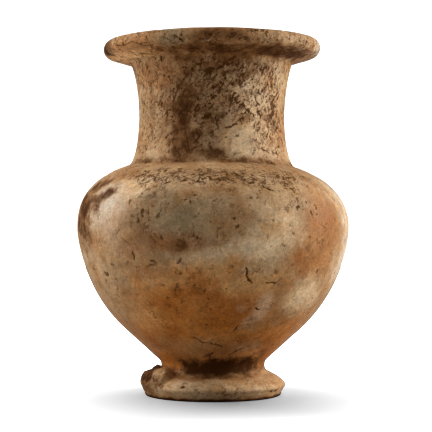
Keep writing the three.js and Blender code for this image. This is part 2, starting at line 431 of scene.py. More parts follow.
def break_foot():
    """Raises the crust of the broken side and pushes it out a little, with its crag."""
    crag = middling * 1.2 + small
    points[..., 2] += broken * (BREAK_RISE + BREAK_ROUGHNESS * crag)
    out = BREAK_SWELL + BREAK_ROUGHNESS * np.minimum(crag, CRAG_SWELL_LIMIT)
    push = 1 + broken * out / radius
    points[..., :2] *= push[..., None]


def uneven_hand():
    """Tilts the rim, shifts the neck and lifts one side of the shoulder, as in the solid."""
    x, z = points[..., 0], points[..., 2]
    over_shoulder = smooth(BELLY_HEIGHT, ROOT_HEIGHT, z)
    over_neck = smooth(ROOT_HEIGHT, NECK_TOP_HEIGHT, z)
    swell = over_shoulder * (1 - over_neck) * x / ROOT_RADIUS
    points[..., 2] = z + x * math.tan(RIM_TILT) * over_neck - SHOULDER_SWELL * swell
    points[..., 0] = x - NECK_DRIFT * over_shoulder


def scoop(chips, edge_radius, bottom, edge_height):
    """Sinks the points inside each chip's ball onto the ball's far side."""
    for chip_turn, ball, bite, place in chips:
        lean = (place - 0.5) * UP
        out = edge_radius + (ball - bite) * math.cos(lean) - (1 - math.cos(lean)) * edge_height / 2
        rise = bottom + edge_height * place + (ball - bite) * math.sin(lean)
        at = math.radians(chip_turn)
        away = points - np.array([out * math.sin(at), -out * math.cos(at), rise])
        ball_here = ball * (1 + CHIP_UNEVENNESS * small)
        inside = (np.linalg.norm(away, axis=2) < ball_here) & is_outside
        inward = -np.sum(away * normals, axis=2)
        room = ball_here ** 2 - np.sum(away ** 2, axis=2)
        sink = np.sqrt(np.maximum(inward ** 2 + room, 0)) - inward
        points[inside] -= (normals * np.maximum(sink, 0)[..., None])[inside]


def relief(crack, pit):
    """How far each point lies above the solid's surface, which is nowhere more than 0.

    Wear, pits and cracks lie everywhere, scratches under the neck, and the foot's edge is worn.
    """
    wear = WIDE_WEAR * (wide - 0.6) + MIDDLING_WEAR * middling + SMALL_WEAR * small
    scratch = np.sin(length * 2.9 + 2.5 * middling) + np.sin(length * 5.3 - 3 * wide)
    wear = wear - SCRATCH_DEPTH * band(*SCRATCHED) * (scratch + 1)
    wear = wear - CRACK_DEPTH * crack - PIT_DEPTH * pit
    foot_edge = FOOT_EDGE_WEAR * band(0.1, 1.0, 3, 7)
    return np.where(is_outside, np.minimum(wear, 0) * smooth(0.5, 4, height) - foot_edge, 0.0)


# Marks, whose places were read off the photograph and worked out as turns and heights

# Cracks and dashes are lines: a list of (turn, height), then half the width and a darkness
CRACKS = [
    ([(13.9, 73.8), (14.5, 71.5), (13.9, 69.3), (15.2, 67.4), (16.8, 65)], 0.6, 0.95),
    ([(23.5, 65.1), (28.6, 65.3)], 0.4, 0.9),
    ([(28.6, 65.3), (30.8, 68.5)], 0.3, 0.5),
    ([(-14, 35.6), (-11, 35.2), (-8.4, 32.7), (-2.4, 31.8), (3.8, 30.6)], 0.4, 0.85),
    ([(-8.1, 24), (-3, 25), (0.4, 26.4)], 0.5, 0.9),
    ([(21.2, 51.8), (23.8, 51.3)], 0.5, 1),
    ([(12.2, 39), (14.6, 41.7)], 0.5, 0.95),
    ([(28.5, 34.4), (32.5, 34.3)], 0.45, 0.8),
    ([(18.8, 42.8), (21.5, 42.5)], 0.3, 0.6),
    ([(13.8, 24.9), (17, 26), (20.7, 27.6), (24, 28.9)], 0.5, 0.9),
    ([(27, 29.4), (30, 29.8)], 0.4, 0.7),
    ([(1.6, 31.6), (6.8, 29.8)], 0.8, 0.7),
    ([(-8.8, 46.3), (-2.8, 46.3)], 0.2, 0.6),
    ([(-0.9, 49.8), (-0.7, 52)], 0.3, 0.7),
    ([(-34.3, 81.6), (-34.1, 79.6), (-33.9, 77.3)], 0.6, 0.95),
    ([(22.6, 117.1), (24.1, 115.2)], 0.8, 1),
    ([(24, 115.3), (26.8, 113.9)], 0.6, 1),
]
DASHES = [
    ([(-39.3, 89.6), (-37.3, 87.5), (-34.8, 85.4)], 0.35, 0.6),
    ([(-26.2, 77.2), (-23.3, 76.2)], 0.5, 0.85),
    ([(-23.3, 76.2), (-26, 74.6), (-29.1, 73.1)], 0.4, 0.7),
    ([(-14.2, 75.3), (-12.5, 78.3)], 0.5, 0.8),
    ([(-21.8, 100.5), (-20, 104)], 0.4, 0.6),
    ([(-69.1, 65.1), (-71.3, 59.7)], 0.6, 0.6),
    ([(-16.6, 122.2), (-17.7, 120.2)], 0.6, 0.8),
    ([(-5.6, 121.1), (-5.9, 119.6), (-7.2, 118)], 0.6, 0.9),
    ([(3.5, 120.6), (5.5, 119.6)], 0.6, 0.7),
    ([(-9.3, 124.9), (-5.3, 124.3)], 0.6, 0.7),
    ([(5.5, 121.1), (7.5, 120)], 0.7, 0.85),
    ([(7.6, 119.6), (10, 118.5)], 0.6, 0.85),
    ([(16.7, 120.3), (18.8, 119.4), (20.5, 119.8)], 0.5, 0.7),
    ([(34.8, 120.6), (39.5, 119.5)], 0.4, 0.8),
    ([(-36.3, 187.6), (-37, 184.4)], 0.5, 1),
    ([(-10.8, 182.8), (-17.7, 176.7), (-22.5, 172.8), (-26.4, 169.2)], 0.55, 0.7),
    ([(-26.4, 169.2), (-30.6, 162.3), (-29.4, 155.8)], 0.6, 0.8),
    ([(-46.1, 181.2), (-42.6, 177.1), (-48, 175), (-51.6, 174), (-53.1, 168.1)], 0.35, 0.7),
    ([(-38.3, 168.1), (-41.1, 164.9), (-45, 161.3)], 0.45, 0.75),
    ([(-2.2, 158.3), (2.2, 161.3)], 0.6, 0.85),
    ([(3.8, 151.4), (4.8, 147.4)], 0.5, 0.85),
    ([(0.5, 147.4), (1, 143.5)], 0.5, 0.8),
    ([(-8.1, 143.5), (-11.3, 141.5)], 0.5, 0.8),
    ([(8.8, 178.1), (10.1, 174.3)], 0.7, 0.8),
    ([(5.9, 170.3), (5.4, 166.4)], 0.8, 0.9),
    ([(18.1, 167.4), (15.9, 163.4), (14, 161.5)], 0.8, 0.9),
    ([(24, 174.6), (21.4, 169.8)], 0.6, 0.85),
    ([(-0.6, 174.2), (3.7, 175.8)], 0.6, 0.7),
    ([(34.2, 165.5), (36, 163), (38.7, 161)], 0.6, 0.9),
    ([(30.5, 156.4), (33.2, 156)], 0.5, 0.85),
    ([(10.3, 148.3), (15, 149.4), (19.4, 150.8)], 0.6, 0.9),
    ([(17.8, 143.8), (19.1, 144.8), (20.4, 143.8)], 0.35, 0.8),
    ([(38, 137.7), (42, 136.5), (46.1, 135.5)], 0.5, 0.8),
    ([(9, 132.5), (12, 132.2)], 0.4, 0.7),
    ([(-19.9, 147.9), (-17.9, 141.4), (-15.8, 134.8)], 0.5, 0.8),
    ([(-58, 194), (-50.6, 193.4), (-44, 194.3), (-39.5, 192.8), (-30.3, 190.8)], 0.4, 0.7),
    ([(-55, 190), (-48, 189.5), (-43.2, 188.3)], 0.4, 0.7),
    ([(-17.9, 196), (-17, 194.5)], 0.5, 0.95),
    ([(-16.1, 194.3), (-14.5, 192.2)], 0.7, 1),
]

# Spots: turn, height, half width, half height, tilt and darkness
SPOTS = [
    (-35.6, 107.9, 1.1, 1.5, -20, 0.75), (-29.1, 102.3, 1.2, 1.4, -20, 0.9),
    (-26.5, 102.3, 0.8, 1.1, 0, 0.8), (-30.6, 97.8, 1.1, 0.9, -20, 0.9),
    (-21.8, 100.5, 1.0, 1.0, 0, 0.7), (-33.6, 100.1, 0.7, 0.7, 0, 0.6),
    (-27.5, 96.3, 0.7, 0.7, 0, 0.7), (-42.4, 90.1, 1.8, 1.0, 10, 0.6),
    (-20.6, 89.1, 0.7, 1.7, 15, 0.75), (-23.3, 87.6, 0.7, 0.9, 0, 0.6),
    (-37.2, 76.2, 0.9, 0.7, 0, 0.7), (-8.3, 90.1, 1.7, 0.9, 10, 0.85),
    (-13.3, 85.2, 1.6, 1.0, 5, 0.6), (-53.7, 69.5, 2.2, 1.3, 0, 0.85),
    (-55.3, 66.1, 1.2, 0.8, 0, 0.7), (-13.6, 70.8, 0.8, 0.9, 0, 0.7),
    (-9.9, 68.3, 1.4, 1.1, 0, 0.35), (-22.4, 64.4, 0.9, 0.8, 0, 0.8),
    (-21.1, 57.3, 0.8, 0.7, 0, 0.75), (-58.3, 55.8, 0.8, 0.8, 0, 0.6),
    (-59.5, 42.6, 1.2, 0.9, 0, 0.5), (-37, 29.4, 0.7, 0.7, 0, 0.8),
    (-5.2, 101.6, 0.7, 0.7, 0, 0.6), (-7.2, 99.4, 0.7, 0.7, 0, 0.6),
    (1.1, 108.6, 0.8, 1.3, -30, 0.6), (-0.6, 97.2, 0.8, 0.7, 0, 0.45),
    (-4, 95.5, 0.7, 0.8, -20, 0.55), (-25.5, 110, 1.2, 1.0, 0, 0.35),
    (-30.4, 121.5, 2.4, 1.5, 0, 0.7), (-29.8, 118.4, 1.4, 1.3, 0, 0.6),
    (-28.6, 114.6, 1.4, 1.0, 0, 0.6), (34.3, 118.9, 0.9, 0.7, 0, 0.8),
    (15.7, 109.9, 0.9, 0.7, 0, 0.75), (18.4, 110.2, 1.2, 0.7, -20, 0.75),
    (12.8, 112.4, 0.5, 1.1, 0, 0.5), (37.1, 109.7, 0.9, 0.9, 0, 0.75),
    (35.9, 112, 0.7, 0.6, 0, 0.6), (36.4, 105.2, 1.0, 1.7, -30, 0.95),
    (38.7, 103.9, 0.7, 0.7, 0, 0.7), (46.9, 105.4, 0.8, 1.3, 10, 0.9),
    (43.7, 102, 0.7, 1.5, 20, 0.95), (46.5, 101.3, 0.7, 0.6, 0, 0.7),
    (54.9, 111.7, 0.8, 0.7, 0, 0.5), (44.7, 107.8, 0.6, 0.6, 0, 0.6),
    (7.6, 105.3, 1.0, 1.5, 25, 0.4), (8, 98.7, 1.1, 0.9, 20, 0.85),
    (9.3, 94.8, 1.4, 1.2, 0, 0.8), (20.9, 100.5, 0.7, 0.6, 0, 0.5),
    (24.3, 98.3, 1.1, 0.6, -10, 0.6), (33.2, 91.6, 0.9, 1.1, 0, 0.6),
    (41.9, 89.3, 1.6, 0.8, 0, 0.55), (42.1, 78.2, 1.1, 0.6, 0, 0.6),
    (50.9, 71.1, 0.8, 1.2, 0, 0.7), (41.6, 83.3, 1.4, 2.2, 0, 0.3),
    (34.7, 74.8, 1.4, 1.1, 0, 0.5), (27, 71.1, 1.6, 1.3, 0, 0.55),
    (19.3, 77.8, 0.9, 0.9, 0, 0.45), (37.9, 50.3, 1.2, 1.0, 0, 0.45),
    (55.7, 51.6, 1.3, 0.8, 25, 0.75), (56.8, 56.1, 0.7, 0.6, 0, 0.6),
    (-24.7, 7.9, 1.3, 1.0, 0, 0.9), (-13.5, 6.7, 1.3, 0.9, 0, 0.5),
    (-43.5, 7.6, 0.8, 0.8, 0, 0.6), (54.1, 3.6, 1.6, 1.2, 0, 0.95),
    (61.1, 3.1, 1.0, 0.9, 0, 0.9), (3.1, 5.1, 0.9, 0.7, 0, 0.5),
    (-2.8, 154.6, 1.9, 1.5, 0, 1), (-51.6, 197.8, 1.6, 0.7, 0, 0.8),
    (-1.1, 195.1, 1.6, 0.9, 0, 0.8), (-5.5, 193, 1.2, 0.7, 0, 0.7),
    (17.3, 193.3, 1.0, 0.7, 0, 0.8), (7.5, 194.5, 1.4, 0.8, 0, 0.5),
]

FAR = 9.0  # further than any mark reaches
NO_LINE = -1.0  # the half width where no line shows
END_FADE = 1.5  # how fast a line's half width falls past its ends
SIDE_FADE = 2  # and how fast it falls beside the line, from this far out
SIDE_REACH = 1.6
CRACK_EDGE = 0.9  # how far the side of a crack slopes


def line_field(lines):
    """For each point its signed distance to the nearest line, that line's half width and darkness.

    The half width falls past a line's ends and away from it, so that nothing shows between lines.
    """
    nearest = np.full(turn.shape, FAR)
    signed = np.full(turn.shape, FAR)
    half = np.full(turn.shape, NO_LINE)
    dark = np.zeros(turn.shape)
    for stops, half_width, darkness in lines:
        for start, end in zip(stops, stops[1:]):
            right, up = around(*start)
            run = math.radians(end[0] - start[0]) * np.interp(start[1], outside[:, 1], outside[:, 0])
            rise = length_at(end[1]) - length_at(start[1])
            reach = math.hypot(run, rise)
            share = (right * run + up * rise) / reach ** 2
            beyond = reach * np.maximum(np.maximum(-share, share - 1), 0)
            across = (right * rise - up * run) / reach
            away = np.hypot(across, beyond)
            closer = (away < nearest) & is_outside
            fade = END_FADE * beyond + SIDE_FADE * np.maximum(np.abs(across) - SIDE_REACH, 0)
            nearest = np.where(closer, away, nearest)
            signed = np.where(closer, across, signed)
            half = np.where(closer, half_width - fade, half)
            dark = np.where(closer, darkness, dark)
    return signed, np.maximum(half, NO_LINE), dark


def spot_field(spots):
    """For each point how far inside the deepest spot it is, in mm, and that spot's darkness."""
    inside = np.full(turn.shape, -FAR)
    dark = np.zeros(turn.shape)
    for spot_turn, spot_height, half_width, half_height, tilt, darkness in spots:
        across, along = turned(*around(spot_turn, spot_height), tilt)
        away = np.hypot(across / half_width, along / half_height)
        depth = (1 - away) * min(half_width, half_height)
        deeper = (depth > inside) & is_outside
        inside = np.where(deeper, depth, inside)
        dark = np.where(deeper, darkness, dark)
    return inside, dark


# Tone: the stone's own colour in soft patches over bands that change with height, and a few
# patches of painted highlight and painted light

# Patches: turn, height, half width, half height, tilt, colour and strength
TONE_PATCHES = [
    # left shoulder and side
    # the two pale patches on the shoulder are partly pale stone and partly a painted highlight where
    # the left light falls
    (-45, 110, 15, 10, 0, CHALK, 1), (-36, 115.5, 13, 8, 0, WHITE, 0.9),
    (-48, 99, 20, 17, 0, CHALK, 0.6), (-58, 62, 16, 26, 0, TAN, 0.4), (-28, 96, 14, 14, 0, SAND, 0.7),
    (-60, 119, 9, 2, 20, RUSSET, 0.5), (-40, 84, 26, 14, 0, TAN, 0.65),
    # the middle
    (-22, 98, 18, 15, 0, DUN, 0.95), (-28, 86, 16, 7, 0, BROWN, 0.5), (-21, 99, 10, 9, 0, BROWN, 0.45),
    (-13, 87, 12, 6, 0, HONEY, 0.3), (-11, 100, 20, 11, 0, OLIVE, 0.9),
    (-13, 87, 14, 5, 0, BROWN, 0.55), (5, 97, 12, 12, 0, TAN, 0.6), (0, 106, 14, 6, 0, CREAM, 0.4),
    (4, 79, 20, 4.5, 6, WHITE, 0.6), (-38, 104, 9, 12, 0, TAN, 0.45),
    # right of the middle and the right side
    (24, 91, 17, 10, 25, WHITE, 0.8), (17, 84, 13, 7, 15, WHITE, 0.9), (10, 84, 12, 5, 15, WHITE, 0.5),
    # the chalk patch at turn 80 is a painted highlight along the right edge, where the light grazes
    (51, 93, 19, 28, 0, ROSE, 1), (80, 88, 16, 40, 0, CHALK, 0.8), (45, 78, 20, 9, 12, ROSE, 0.85),
    (63, 70, 4, 13, 0, CREAM, 0.7), (30, 113, 18, 8, 0, SAND, 0.8), (49, 56, 13, 11, 0, WHITE, 0.7),
    (72, 46, 12, 20, 0, TAN, 0.7),
    # the lower body
    (-8, 54, 40, 15, 0, HONEY, 0.9), (-10, 45, 36, 12, 0, HONEY, 0.9), (28, 63, 15, 5, 0, ROSE, 0.7),
    (4, 68, 24, 7, 0, GOLD, 0.85), (-16, 67, 26, 7, 0, HONEY, 0.6), (2, 75, 20, 3.5, 0, GOLD, 0.5),
    (16, 62, 12, 8, 0, GOLD, 0.5), (0, 29, 44, 9, 0, TAN, 0.5), (54, 38, 15, 15, 0, HONEY, 0.45),
    (-20, 66, 16, 4, 0, GOLD, 0.4), (-38, 50, 10, 14, 0, GOLD, 0.35), (5, 46, 13, 8, 0, AMBER, 0.4),
    (-50, 60, 12, 16, 0, SAND, 0.6), (25, 53, 4.5, 7, -20, PINK, 0.85), (22, 46, 7, 3, 25, PINK, 0.75),
    (14, 52, 3, 2.5, 0, PINK, 0.5), (17, 41.3, 5, 0.9, 27, CREAM, 0.7), (25, 30, 9, 4, 0, PINK, 0.45),
    # the neck
    (-45, 145, 8, 12, 0, CREAM, 0.8), (-60, 155, 6, 26, 0, TAN, 0.6), (-50, 178, 14, 9, 0, ROSE, 0.8),
    # the bright patch at turn -66 is a painted pool of light on the left of the rim's underside
    (-66, 189.5, 30, 8, 0, UNDERSIDE_PAINTED_LIGHT, 1), (-37, 163, 4, 18, -10, BROWN, 0.45),
    (-52, 163, 2.5, 20, 0, BROWN, 0.45), (13, 186, 8, 3.5, 0, RUSSET, 0.8),
    (-1, 181, 4, 3, 0, RUSSET, 0.6), (46, 155, 5, 5, 0, ROSE, 0.5), (45, 175, 5, 7, 0, ROSE, 0.45),
    (24, 142, 18, 11, 0, WHITE, 0.8), (18, 165, 18, 14, 0, WHITE, 0.6), (-6, 158, 14, 24, 0, TAN, 0.4),
    (-23, 154, 9, 26, -8, BROWN, 0.6),
    # the rim
    (-48, 193, 17, 7, 0, HONEY, 0.45), (-21, 195, 8, 7, 0, OLIVE, 0.85),
    (2, 195, 16, 6, 0, BROWN, 0.8), (-2.6, 192.3, 2, 0.8, 0, CREAM, 0.9),
    (-74, 196, 11, 6, 0, UMBER, 1), (78, 195, 10, 6, 0, CHALK, 0.8), (55, 195, 18, 6, 0, SAND, 0.6),
    # the foot
    (44, 7, 11, 1.8, 0, CREAM, 0.8), (34, 4.2, 8, 1.3, 0, OLIVE, 0.7),
    (-20, 12, 9, 2.4, 0, RUSSET, 0.6), (20, 12, 9, 1.6, 0, RUSSET, 0.4),
    # the thin white patch at turn -47 is a painted highlight along the step of the break
    (-47, 10.4, 0.8, 3.6, -30, WHITE, 0.9), (-40, 8, 18, 5, 0, WHITE, 0.7),
    (0, 6, 24, 5, 0, CREAM, 0.7), (10, 8, 9, 2.4, 0, CREAM, 0.5),
    # behind, in keeping
    (150, 96, 30, 15, 0, CREAM, 0.7), (-140, 88, 26, 12, 10, SAND, 0.7),
    (120, 60, 20, 10, 0, HONEY, 0.6), (-110, 112, 12, 8, 0, UMBER, 0.5),
    (170, 150, 12, 14, 0, CREAM, 0.6), (-150, 165, 9, 12, 0, TAN, 0.7),
]

SHOULDER_TOP = (114, 124, 130, 134)  # the band that ends at the foot of the neck


def blend(tone, colour, share):
    """A field of colours, mixed with one colour by a share for each point."""
    return tone + (np.array(colour) - tone) * share[..., None]


def stone_tone_and_painted_light():
    """The clean stone's colour at each point: what changes with height, then the patches.

    A few of the patches are painted highlights and a painted pool of light.
    """
    tone = np.zeros((ROWS, COLUMNS, 3)) + CREAM
    tone = blend(tone, SAND, smooth(-0.2, 0.5, wide))
    tone = blend(tone, ROSE, 0.6 * smooth(0.15, 0.6, lumps(30, 3, 5)))
    tone = blend(tone, TAN, below(58, 76, 12, 6))
    tone = blend(tone, HONEY, below(34, 54, 12, 5))
    tone = blend(tone, TAN, 0.55 * band(*SHOULDER_TOP, 4))
    tone = blend(tone, TAN, 0.7 * smooth(176, 188, height + 6 * ragged))
    tone = blend(tone, SAND, below(14, 17))
    for *place, colour, strength in TONE_PATCHES:
        tone = blend(tone, colour, patch(*place) * strength)
    tone = blend(tone, UMBER, 0.9 * dark_crust())
    return np.where(is_outside[..., None], tone, np.array(SAND))


# Stain and painted shade: how thickly dashes lie, how deep the grime and painted shade are, and
# how many veins show

# Patches: turn, height, half width, half height, tilt and strength
DASH_PATCHES = [
    (30, 160, 28, 30, 0, 0.9), (0, 160, 20, 28, 0, 0.9), (-25, 155, 14, 26, 0, 0.85),
    (12, 178, 26, 10, 0, 1), (50, 162, 14, 28, 0, 0.95), (27, 121, 32, 10, 0, 0.85),
    (38, 107, 16, 9, 0, 0.4), (-24, 122, 20, 9, 0, 0.9), (2, 122, 28, 9, 0, 0.9),
    (-50, 155, 12, 28, 0, 0.5), (-12, 88, 16, 9, 0, 0.45), (12, 72, 20, 6, 0, 0.4),
    (-8, 108, 20, 8, 0, 0.45), (-26, 106, 14, 10, 0, 0.5), (-10, 195, 24, 6, 0, 0.65),
    (30, 30, 16, 8, 0, 0.4), (-40, 195, 20, 7, 0, 0.55), (-32, 100, 16, 9, 0, 0.45),
    (60, 195, 14, 6, 0, 0.8), (20, 194, 20, 6, 0, 0.5), (-45, 72, 18, 9, 0, 0.3),
    (25, 28, 14, 5, 0, 0.5), (150, 160, 30, 24, 0, 0.5), (-130, 118, 30, 9, 0, 0.4),
]
CLEAN_PATCHES = [
    (17, 143, 13, 8, 0, 0.6), (-44, 108, 12, 12, 0, 0.7), (14, 84, 20, 5, 10, 0.6),
    (-45, 140, 8, 8, 0, 0.4),
]
# Those at heights 186 to 189.3 darken the rim's underside, and those at heights 13 to 27 near the
# front darken the groove over the foot: painted shade laid in with grime.
GRIME_AND_SHADE_PATCHES = [
    (-19, 142, 10, 12, 0, 0.72), (-22, 164, 10, 13, -25, 0.62), (-4, 134, 15, 4, 0, 0.7),
    (-5, 150, 10, 14, 0, 0.5), (-23, 150, 7, 19, -6, 0.78), (-8, 172, 16, 13, 0, 0.45),
    (-9, 161, 12, 18, 0, 0.3), (2, 189.3, 36, 8, 0, 0.8), (-12, 186, 20, 3, 0, 0.6),
    (12, 181, 20, 7, 0, 0.45), (48, 189.3, 28, 8, 0, 0.9), (-35, 150, 6, 22, 0, 0.3),
    (-66, 116, 13, 6, 25, 0.85), (-70, 107, 15, 9, 0, 0.85), (-71, 96, 15, 10, 0, 0.8),
    (-72, 86, 10, 7, 0, 0.65), (-57, 107, 6, 8, 0, 0.65), (-49, 112.5, 7, 5, 20, 0.75),
    (-13.3, 85.5, 6, 3.5, 0, 0.6), (0, 14, 26, 5, 0, 0.8), (-30, 13, 12, 3, 0, 0.2),
    (0, 22, 24, 5, 0, 0.5), (-62, 6, 14, 7, 0, 0.65), (30, 189, 16, 3, 0, 0.4),
    (4, 195.5, 16, 4, 0, 0.4), (-76, 196, 10, 6, 0, 1.0), (8, 27, 14, 5, 0, 0.45),
    (-70, 92, 4, 9, 0, 0.5), (-10, 130.5, 30, 1.6, 0, 0.6), (45, 131, 20, 1.2, 0, 0.4),
    (170, 140, 16, 12, 0, 0.5), (-120, 189, 30, 4, 0, 0.5),
]
VEIN_PATCHES = [(-50, 165, 12, 24, 0, 0.8), (-45, 193, 18, 8, 0, 0.8)]
HOLLOW_STAIN = (0.1, 0.1, 0.2, 0.0)


def dash_shares():
    """How thickly the dashes lie: most on the neck, and thinned where the stone is clean."""
    dashes = 0.26 + 0.14 * wide + 0.2 * smooth(131, 140, height)
    dashes = dashes + 0.15 * smooth(112, 120, height) + 0.04 * below(50, 70)
    dashes = thickened(dashes, DASH_PATCHES, STAIN_SOFTNESS)
    for *place, strength in CLEAN_PATCHES:
        dashes = dashes * (1 - strength * patch(*place))
    return dashes


def grime_and_shade_shares():
    """Grime and painted shade, over the foot, under the rim, at the ring, in patches and below."""
    # painted shade with grime in the groove over the foot, deepest at the front, away from the side
    # lights, and weaker towards the sides
    groove = band(11, 16.5, 17, 29, 1, 4)
    groove = groove * (1.22 - 0.5 * smooth(32, 60, turn) - 0.8 * smooth(28, 42, -turn))
    # painted shade with grime under the rim, all round except on the left, where the low left light
    # falls
    under_rim = 0.35 * band(184, 188, 190, 191.5) * smooth(-45, -25, turn)
    at_ring = 0.12 * smooth(118, 126, height) + 0.43 * smooth(128.5, 130, height)
    grime_and_shade = np.maximum(groove, np.maximum(under_rim, at_ring * below(131, 134)))
    grime_and_shade = thickened(grime_and_shade, GRIME_AND_SHADE_PATCHES, STAIN_SOFTNESS)
    # a painted contact shadow: the foot's bottom edge is darkened where it meets the floor
    painted_contact_shadow = 1.2 * (1 - smooth(0.1, 1.3, height + 0.15 * small))
    return np.maximum(grime_and_shade, np.maximum(painted_contact_shadow, dark_crust()))


def stain_and_shade_shares():
    """Four numbers for each point: dashes, grime and painted shade, veins and how far it is crusted.
    """
    veins = thickened(0.25 + 0.5 * band(*SHOULDER_TOP), VEIN_PATCHES, VEIN_SOFTNESS)
    crust = smooth(0.2, 0.6, broken)
    shares = np.stack([dash_shares(), grime_and_shade_shares(), veins, crust], axis=2)
    return np.where(is_outside[..., None], shares, np.array(HOLLOW_STAIN))


# Building the mesh

def grid_faces():
    """Four-sided faces between the rings, and fans to the two middle points."""
    here = np.arange(ROWS * COLUMNS).reshape(ROWS, COLUMNS)
    right = np.roll(here, -1, axis=1)
    quads = np.stack([here[:-1], right[:-1], right[1:], here[1:]], axis=2).reshape(-1, 4)
    bottom = ROWS * COLUMNS
    low_fan = [(bottom, int(b), int(a)) for a, b in zip(here[0], right[0])]
    high_fan = [(bottom + 1, int(a), int(b)) for a, b in zip(here[-1], right[-1])]
    return [*quads.tolist(), *low_fan, *high_fan]


def add_attribute(mesh, name, values, middle):
    """Stores four numbers a vertex, with the same four for the two middle points at the end."""
    layer = mesh.attributes.new(name, "FLOAT_COLOR", "POINT")
    flat = np.vstack([values.reshape(-1, 4), [middle, middle]]).astype(np.float32)
    layer.data.foreach_set("color", flat.ravel())


def carve(crack, pit):
    """Moves the grid's points from the plain outline to the worn and broken form."""
    rise = relief(crack, pit)
    break_foot()
    scoop(FOOT_CHIPS, FOOT_RADIUS, 0, FOOT_EDGE_HEIGHT * 2)
    scoop(LIP_CHIPS, RIM_RADIUS, TOP_HEIGHT - LIP_HEIGHT, LIP_HEIGHT)
    points[...] += normals * rise[..., None]
    uneven_hand()


def build_vase():
    """The vase's mesh, with its tone, stain and painted shade, lines and spots stored at its vertices.
    """
    signed, half, dark = line_field(CRACKS + DASHES)
    crack_signed, crack_half, crack_dark = line_field(CRACKS)
    crack = crack_dark * (1 - smooth(crack_half, crack_half + CRACK_EDGE, np.abs(crack_signed)))
    spot, spot_dark = spot_field(SPOTS)
    # the darkest spots are pits
    pit = smooth(-0.6, 0.5, spot) * smooth(0.6, 0.9, spot_dark)
    tone = stone_tone_and_painted_light()
    stain_and_shade = stain_and_shade_shares()
    carve(crack, pit)
    vertices = np.vstack([points.reshape(-1, 3), [(0, 0, 0), (0, 0, HOLLOW_FLOOR)]]) * MM
    mesh = bpy.data.meshes.new("alabaster_vase")
    mesh.from_pydata(vertices.tolist(), [], grid_faces())
    mesh.polygons.foreach_set("use_smooth", [True] * len(mesh.polygons))
    none = np.zeros((ROWS, COLUMNS))
    add_attribute(mesh, "tone", np.concatenate([tone, none[..., None] + 1], axis=2), (*SAND, 1))
    add_attribute(mesh, "stain_and_shade", stain_and_shade, HOLLOW_STAIN)
    add_attribute(mesh, "lines", np.stack([signed, half, dark, none], axis=2), (FAR, NO_LINE, 0, 0))
    add_attribute(mesh, "spots", np.stack([spot, spot_dark, none, none], axis=2), (-FAR, 0, 0, 0))
    vase = bpy.data.objects.new("alabaster_vase", mesh)
    bpy.context.scene.collection.objects.link(vase)
    return vase


# The stone's material

class Shader:
    """Short names for the nodes of one material."""

    def __init__(self, name):
        self.material = bpy.data.materials.new(name)
        self.material.use_nodes = True
        self.tree = self.material.node_tree
        self.surface = self.tree.nodes["Principled BSDF"]
        self.place = self.tree.nodes.new("ShaderNodeTexCoord").outputs["Object"]

    def put(self, socket, value):
        """Links another node's output to a socket, or sets its plain value."""
        if isinstance(value, bpy.types.NodeSocket):
            self.tree.links.new(value, socket)
        else:
            socket.default_value = value

    def math(self, operation, a, b=0.0, c=0.0):
        node = self.tree.nodes.new("ShaderNodeMath")
        node.operation = operation
        for socket, value in zip(node.inputs, (a, b, c)):
            self.put(socket, value)
        return node.outputs[0]

    def times(self, a, b):
        return self.math("MULTIPLY", a, b)

    def times_plus(self, a, b, c):
        return self.math("MULTIPLY_ADD", a, b, c)

    def minus(self, a, b):
        return self.math("SUBTRACT", a, b)

    def most(self, a, b):
        return self.math("MAXIMUM", a, b)

    def step(self, value, low, high):
        """0 at low, 1 at high and soft between, whichever of them is greater."""
        node = self.tree.nodes.new("ShaderNodeMapRange")
        node.interpolation_type = "SMOOTHSTEP"
        self.put(node.inputs["Value"], value)
        self.put(node.inputs["From Min"], low)
        self.put(node.inputs["From Max"], high)
        return node.outputs["Result"]

    def mix(self, share, a, b, kind="MIX"):
        node = self.tree.nodes.new("ShaderNodeMix")
        node.data_type = "RGBA"
        node.blend_type = kind
        self.put(node.inputs[0], share)
        self.put(node.inputs[6], a)
        self.put(node.inputs[7], b)
        return node.outputs[2]

    def grey(self, value):
        """The grey whose three parts are all that value."""
        node = self.tree.nodes.new("ShaderNodeCombineColor")
        for socket in list(node.inputs)[:3]:
            self.put(socket, value)
        return node.outputs[0]

    def stretched(self, tilt, stretch):
        """The place on the object, for noise that is drawn out along a tilted line in XZ."""
        node = self.tree.nodes.new("ShaderNodeMapping")
        node.vector_type = "TEXTURE"
        self.put(node.inputs["Vector"], self.place)
        node.inputs["Rotation"].default_value = (0, tilt, 0)
        node.inputs["Scale"].default_value = (1, 1, stretch)
        return node.outputs["Vector"]

    def noise(self, size, detail=2.0, roughness=0.5, distortion=0.0, place=None):
        """Noise from 0 to 1 whose largest lumps are size mm across."""
        node = self.tree.nodes.new("ShaderNodeTexNoise")
        self.put(node.inputs["Vector"], place or self.place)
        node.inputs["Scale"].default_value = 1 / (size * MM)
        node.inputs["Detail"].default_value = detail
        node.inputs["Roughness"].default_value = roughness
        node.inputs["Distortion"].default_value = distortion
        return node.outputs["Fac"]

    def swing(self, size, detail=2.0, roughness=0.5, distortion=0.0):
        """The same noise, moved down to swing about 0."""
        return self.minus(self.noise(size, detail, roughness, distortion), 0.5)

    def attribute(self, name):
        """The attribute's colour, its three parts and its fourth number."""
        node = self.tree.nodes.new("ShaderNodeAttribute")
        node.attribute_name = name
        parts = self.tree.nodes.new("ShaderNodeSeparateColor")
        self.put(parts.inputs[0], node.outputs["Color"])
        return node.outputs["Color"], list(parts.outputs), node.outputs["Alpha"]


